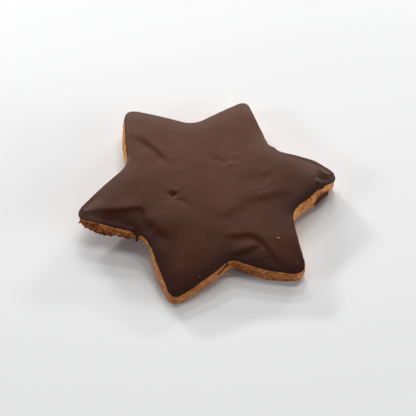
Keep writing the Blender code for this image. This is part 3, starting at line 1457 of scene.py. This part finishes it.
@dataclass
class ChocolateCoat:
    """The coat over the upper face, with its rounded edge, folds and dents."""

    plan: StarPlan
    slab: BakedSlab
    columns: int = 1440
    depth: float = 1.7
    # Round of the edge at the back and at the front, and how full its run inwards and its rise are.
    edge_round: Pair = (1.0, 3.0)
    edge_fullness: Pair = (0.85, 0.9)
    edge_rows: int = 14
    overhang: float = 0.1
    # Underside: how far it stands in, and its height. Lip: distance outwards, height and share of the hang.
    under_in: float = 0.9
    under_height: float = -0.12
    lip: tuple[Triple, ...] = ((-0.5, -0.16, 0.9), (-0.05, -0.1, 1.0))
    inward_blur: float = 4.5
    shoulder: float = 1.2
    shoulder_reach: float = 6.0
    # Edges that face to the front and to the back, by how far their normals turn.
    facing_blur: float = 6.0
    front_facing: float = -0.28
    back_facing: float = 0.45
    front_turn: float = 0.35
    top_step: float = 0.0145
    top_columns: tuple[tuple[float, int], ...] = ((0.93, 1), (0.45, 2), (0.2, 4), (0.0, 8))
    # Relief near the rim: where it starts and is full, and the share that stays at the rim.
    calm_reach: Pair = (0.3, 2.2)
    calm_relief: float = 0.25
    waves: tuple[Waves, ...] = (Waves(0.07, 3, 7.0, 0.16), Waves(0.35, 2, 19.0, 0.03))
    rim_waves: tuple[Waves, ...] = (Waves(0.22, 3, 31.0, 0.2), Waves(0.8, 2, 37.0, 0.1))
    folds: tuple[Fold, ...] = (
        # left arm: its crest falls to the front
        Fold(STEP, ((-48.6, -14.6), (-44.5, -14.3), (-39.6, -14.1), (-33.0, -13.8), (-27.8, -13.0),
                    (-23.9, -12.1)), 0.55, 0.38, 4.0, 0.08),
        Fold(TROUGH, ((-34.0, -14.1), (-28.5, -13.5), (-24.4, -12.6)), 0.7, 0.14, fade=0.15),
        Fold(STEP, ((-45.0, -15.6), (-39.6, -15.4), (-33.0, -15.6), (-27.0, -16.0), (-24.5, -17.5)),
             2.2, 0.6, 6.0, 0.25),
        # back lip of the thumb pit, then the crease behind the round lump, and its left foot
        Fold(STEP, ((-15.0, -5.9), (-13.6, -5.2), (-12.2, -5.9)), 0.5, 0.22, 3.0, 0.3),
        Fold(TROUGH, ((-16.8, -8.7), (-13.4, -8.3), (-9.8, -8.9), (-6.4, -11.6)), 1.1, 0.27),
        Fold(STEP, ((-24.6, -12.2), (-24.5, -14.6), (-23.8, -17.2), (-21.8, -19.7), (-18.6, -21.8),
                    (-15.2, -24.2), (-12.6, -27.8)), 1.3, 0.38, 4.5, 0.3),
        Fold(TROUGH, ((-24.7, -12.8), (-24.3, -16.0), (-22.6, -19.2), (-19.6, -21.8)), 1.5, 0.36, fade=0.15),
        Fold(TROUGH, ((-31.5, -20.0), (-27.6, -20.8), (-24.8, -22.2), (-22.8, -25.4)), 1.7, 0.36, fade=0.3),
        # left back arm
        Fold(STEP, ((-31.5, 26.0), (-28.2, 22.7), (-24.4, 18.8), (-20.4, 14.6), (-17.6, 11.2), (-15.4, 8.0)),
             1.5, 0.42, 4.5, 0.25),
        Fold(TROUGH, ((-28.0, 22.5), (-24.4, 18.8), (-20.4, 14.6), (-17.6, 11.2), (-15.6, 8.4)),
             1.5, 0.36, fade=0.3),
        # small dents behind the middle
        Fold(TROUGH, ((1.8, 13.0), (4.6, 11.2), (6.4, 8.6)), 1.45, 0.38),
        Fold(RIDGE, ((8.2, 10.8), (8.6, 8.2)), 1.0, 0.2),
        # hollow before the right arm
        Fold(RIDGE, ((14.2, -2.9), (18.5, -2.2), (21.6, -1.0), (24.0, 1.2), (25.2, 4.4)), 0.9, 0.16),
        Fold(RIDGE, ((20.3, 4.4), (21.6, 6.2), (23.6, 6.2)), 1.1, 0.12),
        # right arm: its crest falls to the front
        Fold(STEP, ((1.0, -15.6), (5.3, -14.9), (9.6, -13.0), (15.1, -8.4), (20.6, -6.4), (27.8, -4.1),
                    (33.9, -3.8)), 1.7, 0.3, 6.5, 0.2),
        # folds in the right front arm
        Fold(STEP, ((3.5, -24.2), (10.2, -23.6), (15.1, -23.2), (18.7, -24.9), (21.0, -27.2), (22.7, -30.4),
                    (25.0, -33.5), (28.6, -35.2)), 0.8, 0.36, 3.2, 0.25),
        Fold(RIDGE, ((8.9, -28.1), (13.2, -27.5), (17.0, -27.1)), 1.6, 0.2),
        Fold(STEP, ((8.0, -31.2), (12.5, -29.9), (15.5, -28.8), (18.0, -27.0)), 0.5, 0.34, 2.2, 0.15),
        Fold(RIDGE, ((18.9, -28.0), (19.5, -32.8)), 1.9, 0.22),
        # puckered right tip
        Fold(RIDGE, ((43.0, 9.2), (43.7, 7.6), (44.7, 6.6), (45.9, 6.0), (47.0, 5.5)), 0.75, 0.7, fade=0.15),
        Fold(TROUGH, ((42.0, 6.0), (42.8, 4.5), (44.3, 3.9), (46.0, 3.6), (47.6, 4.2)), 0.8, 0.5),
        Fold(RIDGE, ((41.3, 3.4), (42.0, 1.9), (43.3, 1.5), (44.6, 1.6)), 0.6, 0.35, fade=0.15),
        Fold(TROUGH, ((40.3, 5.0), (40.3, 3.0), (41.0, 1.6)), 0.7, 0.25),
    )
    lumps: tuple[Lump, ...] = (
        Lump(-14.8, -16.4, 7.4, 5.4, 8.0, 0.62),
        Lump(-23.0, 14.0, 5.0, 3.5, -50.0, 0.25),
        Lump(-13.6, -5.9, 1.6, 1.35, 0.0, -0.68, 2.2),
        Lump(-12.2, -4.3, 1.0, 0.8, 0.0, 0.12),
        Lump(10.1, 14.3, 1.6, 1.4, 0.0, 0.22),
        Lump(19.5, 0.9, 6.2, 4.6, 28.0, -0.42, 3.0),
        Lump(14.2, 23.0, 5.0, 3.0, -60.0, -0.4),
        Lump(-28.6, -16.9, 4.0, 1.4, 5.0, 0.2),
        Lump(-10.9, -36.5, 6.0, 3.0, 70.0, 0.2),
        # back edges of the right tip and of the left tip, which fall away
        Lump(41.0, 14.8, 9.0, 4.8, -25.0, -0.8),
        Lump(-48.0, -10.4, 5.0, 3.6, 25.0, -1.0),
    )
    # Where the lower rim hangs over the wall or is lifted, and how far it stands out at most where it hangs.
    lobes: tuple[Lobe, ...] = (
        Lobe(49.2, 5.6, 3.2, 1.5),
        Lobe(43.6, 0.4, 1.3, 0.5),
        Lobe(37.5, -5.0, 3.0, 0.35),
        Lobe(-26.4, -21.9, 1.3, 1.0),
        Lobe(1.8, -38.2, 4.5, -0.25),
        Lobe(-49.8, -14.5, 5.0, 0.9),
    )
    skirt_out: float = 0.45
    # Places with more painted sheen and less painted front shade, at the left tip and the right tip.
    sheen_places: tuple[SheenPlace, ...] = (
        SheenPlace(-44.5, -16.5, 6.5, 3.5, 0.3),
        SheenPlace(41.0, 7.0, 7.5, 0.0, 0.5),
    )

    def relief(self, plan: np.ndarray) -> np.ndarray:
        """Height that slow waves, folds and lumps add.

        Args:
            plan: Rows of x, y.

        Returns:
            One height a row.
        """
        flat = np.column_stack((plan, np.zeros(len(plan))))
        waves = sum(wave.at(flat) for wave in self.waves)
        return sum((feature.lift(plan) for feature in (*self.folds, *self.lumps)), waves)

    def loft(self) -> tuple[RingLoft, np.ndarray]:
        """Rings from the middle of the underside, round the edge, to the middle of the top.

        Returns:
            The rings, with each point's plan place, share of the coat's depth and hang, and the outline.
        """
        rim = self.plan.outline(self.columns)
        normals = self.plan.normals(rim)
        wave = sum(waves.at(np.column_stack((rim, np.zeros(len(rim))))) for waves in self.rim_waves)
        hang = sum(lobe.drop * lobe.share(rim) for lobe in self.lobes)
        skirt = self.skirt_out * np.tanh(np.maximum(hang, 0.0) / self.skirt_out)
        loft = RingLoft()
        for share, step in PLAIN_RINGS:
            loft.add(step, plan=(rim - normals * self.under_in) * share, up=self.under_height, hang=0.0)
        for out, up, hanging in self.lip:
            loft.add(plan=rim + normals * (out + wave + skirt)[:, None], up=up, hang=hanging * hang)
        back_round, front_round = self.edge_round
        round_off = back_round + (front_round - back_round) * self.front_share(normals[:, 1])
        inwards = self.plan.normals(rim, self.inward_blur)
        run, climb = self.edge_fullness
        for row in range(self.edge_rows):
            angle = math.pi / 2 * row / (self.edge_rows - 1)
            inward = round_off * (1.0 - math.cos(angle)) ** run
            rise = math.sin(angle) ** climb
            out = self.overhang + (wave + skirt) * (1.0 - rise)
            place = rim + normals * out[:, None] - inwards * inward[:, None]
            loft.add(plan=place, up=rise, hang=(1.0 - rise) * hang)
        last = rim + normals * self.overhang - inwards * round_off[:, None]
        for share in np.arange(1.0 - self.top_step, self.top_step * 2, -self.top_step):
            loft.add(column_step(share, self.top_columns), plan=last * share, up=1.0, hang=0.0)
        return loft, rim

    def edge_distances(self, rim: np.ndarray, plan: np.ndarray) -> tuple[np.ndarray, np.ndarray]:
        """Distances of each plan point from the nearest front edge and from the nearest back edge.

        Args:
            rim: Rows of x, y of the outline.
            plan: Rows of x, y to measure from.

        Returns:
            Two distances a row of plan.
        """
        facing = self.plan.normals(rim, self.facing_blur)[:, 1]
        front, back = rim[facing < self.front_facing], rim[facing > self.back_facing]
        return distance_to(front, plan), distance_to(back, plan)

    def front_share(self, normal_y: np.ndarray) -> np.ndarray:
        """Share to which an edge is a front one, where the coat thinned as it ran."""
        return smooth_step(self.front_turn, -self.front_turn, normal_y)

    def build(self, shift: np.ndarray, finish: ChocolateFinish) -> bpy.types.Object:
        """Make the coat.

        Args:
            shift: Move from the plan to the frame's place.
            finish: Finish of the chocolate.

        Returns:
            The coat.
        """
        loft, rim = self.loft()
        plan, up = loft.column("plan"), loft.column("up")
        from_front, from_back = self.edge_distances(rim, plan)
        slope = self.shoulder * np.exp(-from_front / self.shoulder_reach)
        raised = np.clip(up, 0.0, 1.0)
        calm = smooth_step(*self.calm_reach, distance_to(rim, plan))
        level = self.slab.upper(plan) + self.depth * up - raised * slope
        level += raised * (self.calm_relief + (1.0 - self.calm_relief) * calm) * self.relief(plan)
        level -= loft.column("hang")
        # Where the coat takes more painted sheen and less painted front shade.
        for place in self.sheen_places:
            sheen = place.share(plan)
            from_front = from_front + place.added * sheen
            from_back = from_back * (1.0 - (1.0 - place.kept) * sheen)
        # Distances that lay the finish's painted front shade and painted back sheen.
        marks = {
            name: (np.minimum(distance / finish.mark_reach, 1.0), 1.0)
            for name, distance in (("from_front", from_front), ("from_back", from_back))
        }
        return loft.skin("chocolate_glaze", np.column_stack((plan, level)), shift, finish.make(), marks)


# ====================================================================== small toppings
@dataclass(frozen=True)
class CrumbFinish:
    """Pale dry crumb, whose relief says its features per metre, its layers and its depth in metres."""

    name: str = "pale_crumb"
    pale: Triple = srgb(192, 146, 104)
    brown: Triple = srgb(140, 92, 64)
    patches: Grain = Grain(1400.0, 3.0, (0.4, 0.65))
    roughness: float = 0.9
    gloss: float = 0.2
    relief: Triple = (3000.0, 4.0, 0.0001)

    def make(self) -> bpy.types.Material:
        """Lay the nodes.

        Returns:
            The material.
        """
        sheet = NodeSheet(self.name)
        colour = sheet.blend(sheet.grain(self.patches), self.pale, self.brown)
        scale, detail, depth = self.relief
        normal = sheet.bump(sheet.noise(scale, detail), depth, 1.0)
        return sheet.surface(colour, self.roughness, self.gloss, normal)


@dataclass(frozen=True)
class Crumb:
    """A crumb: its plan place, its length, width and height, and the bearing of its length."""

    x: float
    y: float
    length: float
    width: float
    height: float
    bearing: float

    def laid(self, ball: np.ndarray, ground: float, sunk: float) -> np.ndarray:
        """Points of a ball made into this crumb, turned and laid on the ground.

        Args:
            ball: Rows of x, y, z of a ball 1 across.
            ground: Height of the ground.
            sunk: Share of its height that is sunk.

        Returns:
            Rows of x, y, z.
        """
        angle = math.radians(self.bearing)
        cosine, sine = math.cos(angle), math.sin(angle)
        turn = np.array(((cosine, sine, 0.0), (-sine, cosine, 0.0), (0.0, 0.0, 1.0)))
        middle = (self.x, self.y, ground + self.height * (0.5 - sunk))
        return (ball * (self.length, self.width, self.height)) @ turn + middle


@dataclass
class LooseCrumbs:
    """Dry crumbs that lie on the coat."""

    crumbs: tuple[Crumb, ...] = (
        Crumb(25.4, -24.4, 1.05, 0.75, 0.6, 10.0),
        Crumb(-3.3, -39.5, 0.4, 0.32, 0.22, 40.0),
        Crumb(-6.0, -19.7, 0.27, 0.22, 0.15, 0.0),
        Crumb(-4.9, -20.4, 0.24, 0.2, 0.14, 60.0),
        Crumb(-4.5, -23.6, 0.27, 0.2, 0.14, 20.0),
        Crumb(-5.6, -24.4, 0.22, 0.18, 0.12, 80.0),
        Crumb(-9.6, -29.4, 0.2, 0.18, 0.12, 0.0),
    )
    sunk: float = 0.25
    detail: int = 3
    # Unevenness: features over a crumb's length, layers and height; and the shift from one crumb to the next.
    uneven: tuple[float, int, float] = (2.6, 3, 0.3)
    seed_step: float = 5.0
    drop_height: float = 100.0

    def build(self, coat: bpy.types.Object, shift: np.ndarray, finish: CrumbFinish) -> bpy.types.Object:
        """Lay the crumbs on the coat.

        Args:
            coat: The coat that they lie on.
            shift: Move from the plan to the frame's place.
            finish: Finish of the crumbs.

        Returns:
            The crumbs, as one object.
        """
        shape = bmesh.new()
        bmesh.ops.create_icosphere(shape, subdivisions=self.detail, radius=0.5)
        shape.verts.ensure_lookup_table()
        ball = np.array([vertex.co[:] for vertex in shape.verts])
        ball_faces = [tuple(vertex.index for vertex in face.verts) for face in shape.faces]
        shape.free()
        scale, octaves, height = self.uneven
        points, faces = [], []
        for number, crumb in enumerate(self.crumbs):
            rough = 1.0 + Waves(scale, octaves, self.seed_step * number, height).at(ball)
            start = Vector((crumb.x + shift[0], crumb.y + shift[1], self.drop_height)) * MM
            _, ground, _, _ = coat.ray_cast(start, Vector((0.0, 0.0, -1.0)))
            faces += [tuple(index + len(points) * len(ball) for index in face) for face in ball_faces]
            laid = crumb.laid(ball * rough[:, None], ground.z / MM, self.sunk)
            points.append(laid + (shift[0], shift[1], 0.0))
        return make_object("pale_crumbs", np.vstack(points), faces, finish.make())


@dataclass
class ChocolateDrip:
    """A narrow run of chocolate down the wall that ends in a drop under the foot.

    It bows to the front, wavers in thickness, swells at a share of its length and is rounded off at its end.
    It is painted all over with the coat's front shade, and with none of its back sheen.
    """

    top: Triple = (-26.4, -21.7, 8.0)
    foot: Triple = (-26.7, -22.5, 3.9)
    radius: float = 0.38
    drop_radius: float = 0.46
    rows: int = 40
    around: int = 16
    bow: float = 0.35
    bow_turns: float = 1.3
    swell_at: float = 0.88
    swell_length: float = 0.1
    waver: float = 0.12
    waver_turns: float = 9.0
    round_from: float = 0.9
    round_length: float = 0.1
    least_end: float = 0.05

    def build(self, shift: np.ndarray, material: bpy.types.Material) -> bpy.types.Object:
        """Make the drip.

        Args:
            shift: Move from the plan to the frame's place.
            material: Finish of the chocolate.

        Returns:
            The drip.
        """
        loft = RingLoft()
        top, foot = np.array(self.top), np.array(self.foot)
        turn = np.arange(self.around) / self.around * 2 * math.pi
        circle = np.column_stack((np.cos(turn), np.sin(turn), np.zeros(self.around)))
        for share in np.linspace(0.0, 1.0, self.rows):
            middle = top + (foot - top) * share
            middle[1] -= self.bow * math.sin(math.pi * min(1.0, share * self.bow_turns))
            peak = math.exp(-(((share - self.swell_at) / self.swell_length) ** 2))
            wave = 1.0 + self.waver * math.sin(self.waver_turns * share)
            end = math.sqrt(max(0.0, 1.0 - max(0.0, (share - self.round_from) / self.round_length) ** 2))
            radius = self.radius * wave + (self.drop_radius - self.radius) * peak
            loft.add(plan=middle + circle * radius * max(end, self.least_end))
        points = loft.column("plan")
        # Painted front shade over the whole drip, and no painted back sheen.
        marks = {"from_front": (np.zeros(len(points)), 0.0), "from_back": (np.ones(len(points)), 1.0)}
        return loft.skin("chocolate_drip", points, shift, material, marks)


# ====================================================================== studio
@dataclass(frozen=True)
class SoftBox:
    """A soft light: its bearing and its height over the table in degrees, its size and distance in metres.

    Its share is the part of the table's brightness that it gives.
    """

    name: str
    bearing: float
    elevation: float
    share: float
    size: Pair = BACK_BOX
    distance: float = 2.2

    def build(self, table_colour: float) -> bpy.types.Object:
        """Place the light so that it faces the star.

        Args:
            table_colour: Share of the light that the table gives back.

        Returns:
            The light.
        """
        bearing, elevation = math.radians(self.bearing), math.radians(self.elevation)
        data = bpy.data.lights.new(self.name, "AREA")
        data.shape = "RECTANGLE"
        data.size, data.size_y = self.size
        data.energy = self.share / table_colour * (math.pi * self.distance) ** 2 / math.sin(elevation)
        lamp = bpy.data.objects.new(self.name, data)
        flat = math.cos(elevation)
        direction = Vector((math.cos(bearing) * flat, math.sin(bearing) * flat, math.sin(elevation)))
        lamp.location = direction * self.distance
        lamp.rotation_euler = direction.to_track_quat("Z", "Y").to_euler()
        bpy.context.scene.collection.objects.link(lamp)
        return lamp


@dataclass
class Studio:
    """Pale table, soft lights and the camera."""

    shift: np.ndarray
    table_size: float = 2.4
    pitch: float = 52.0
    distance: float = 313.2
    aim: Triple = (-0.25, -2.4, -1.9)
    lens: float = 69.23
    clip_start: float = 0.01
    lights: tuple[SoftBox, ...] = (
        SoftBox("sill_right", 60.0, 16.0, 0.071),
        SoftBox("sill_left", 120.0, 16.0, 0.124),
        SoftBox("low_back", 90.0, 28.0, 0.046),
        SoftBox("low_left", 105.0, 28.0, 0.054),
        SoftBox("middle_back", 90.0, 38.0, 0.083),
        SoftBox("middle_right", 75.0, 44.0, 0.025),
        SoftBox("high_right", 60.0, 57.0, 0.083),
        SoftBox("high_left", 135.0, 57.0, 0.046),
        SoftBox("top_back", 90.0, 65.0, 0.094),
        SoftBox("right_side", 350.0, 12.0, 0.054, SIDE_BOX),
        SoftBox("left_side", 190.0, 20.0, 0.076, SIDE_BOX),
        SoftBox("right_front", 325.0, 20.0, 0.041, SIDE_BOX),
    )
    # The room: how bright and of what colour its weak light is, and how bright it looks behind the table.
    room_light: float = 0.03
    room_colour: Triple = (0.9, 0.97, 1.07)
    backdrop: float = 0.85

    def room(self) -> bpy.types.World:
        """Make the room round the table.

        Returns:
            A world that looks pale behind the table's edge and that lights the star only weakly.
        """
        world = bpy.data.worlds.new("soft_room")
        world.use_nodes = True
        nodes, links = world.node_tree.nodes, world.node_tree.links
        weak = nodes["Background"]
        weak.inputs["Color"].default_value = (*self.room_colour, 1.0)
        weak.inputs["Strength"].default_value = self.room_light
        pale = nodes.new("ShaderNodeBackground")
        pale.inputs["Color"].default_value = (self.backdrop, self.backdrop, self.backdrop, 1.0)
        rays = nodes.new("ShaderNodeLightPath")
        either = nodes.new("ShaderNodeMixShader")
        links.new(rays.outputs["Is Camera Ray"], either.inputs[0])
        links.new(weak.outputs["Background"], either.inputs[1])
        links.new(pale.outputs["Background"], either.inputs[2])
        links.new(either.outputs["Shader"], nodes["World Output"].inputs["Surface"])
        return world

    def build(self) -> None:
        """Make the table, the lights, the world and the camera."""
        scene = bpy.context.scene
        bpy.ops.mesh.primitive_plane_add(size=self.table_size)
        table = bpy.context.object
        table.name = "pale_table"
        table.data.materials.append(FloorFinish().make())
        for light in self.lights:
            light.build(FloorFinish().colour[0])
        scene.world = self.room()
        scene.view_settings.view_transform = "Standard"
        data = bpy.data.cameras.new("camera")
        data.lens = self.lens
        data.clip_start = self.clip_start
        camera = bpy.data.objects.new("camera", data)
        pitch = math.radians(self.pitch)
        back = np.array((0.0, -math.cos(pitch), math.sin(pitch))) * self.distance
        camera.location = Vector((np.array(self.aim) + self.shift + back) * MM)
        camera.rotation_euler = (math.pi / 2 - pitch, 0.0, 0.0)
        scene.collection.objects.link(camera)
        scene.camera = camera


def plan_shift(plan: StarPlan, slab: BakedSlab) -> np.ndarray:
    """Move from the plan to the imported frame: it puts the widest ring's middle in the biscuit's box.

    Args:
        plan: Outline of the star.
        slab: Warp of the slab.

    Returns:
        The move along X, Y and Z.
    """
    low, high = (np.array(corner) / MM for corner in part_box(BISCUIT_NODE))
    biscuit = Biscuit(plan, slab)
    rings = biscuit.loft().column("plan")
    middle = (rings.min(axis=0) + rings.max(axis=0)) / 2.0
    return np.array((*((low + high)[:2] / 2.0 - middle), 0.0))


def main() -> None:
    """Build the star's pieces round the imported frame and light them."""
    logging.basicConfig(level=logging.INFO, format="%(name)s: %(message)s")
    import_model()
    plan, slab = StarPlan(), BakedSlab()
    shift = plan_shift(plan, slab)
    LOG.info("plan moved by %s mm", shift.round(3))
    Studio(shift).build()

    biscuit = Biscuit(plan, slab).build(shift, GingerbreadFinish().make())
    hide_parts(BISCUIT_NODE)
    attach(biscuit, "root")
    LOG.info("%s: %d faces", biscuit.name, len(biscuit.data.polygons))

    coat = ChocolateCoat(plan, slab).build(shift, ChocolateFinish())
    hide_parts(COAT_NODE)
    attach(coat, "root")
    LOG.info("%s: %d faces", coat.name, len(coat.data.polygons))

    toppings = (
        (LooseCrumbs().build(coat, shift, CrumbFinish()), "gingerbread"),
        (ChocolateDrip().build(shift, coat.data.materials[0]), "chocolate"),
    )
    for topping, slot in toppings:
        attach(topping, "root")
        LOG.info("%s: %d faces", topping.name, len(topping.data.polygons))


if __name__ == "__main__":
    main()
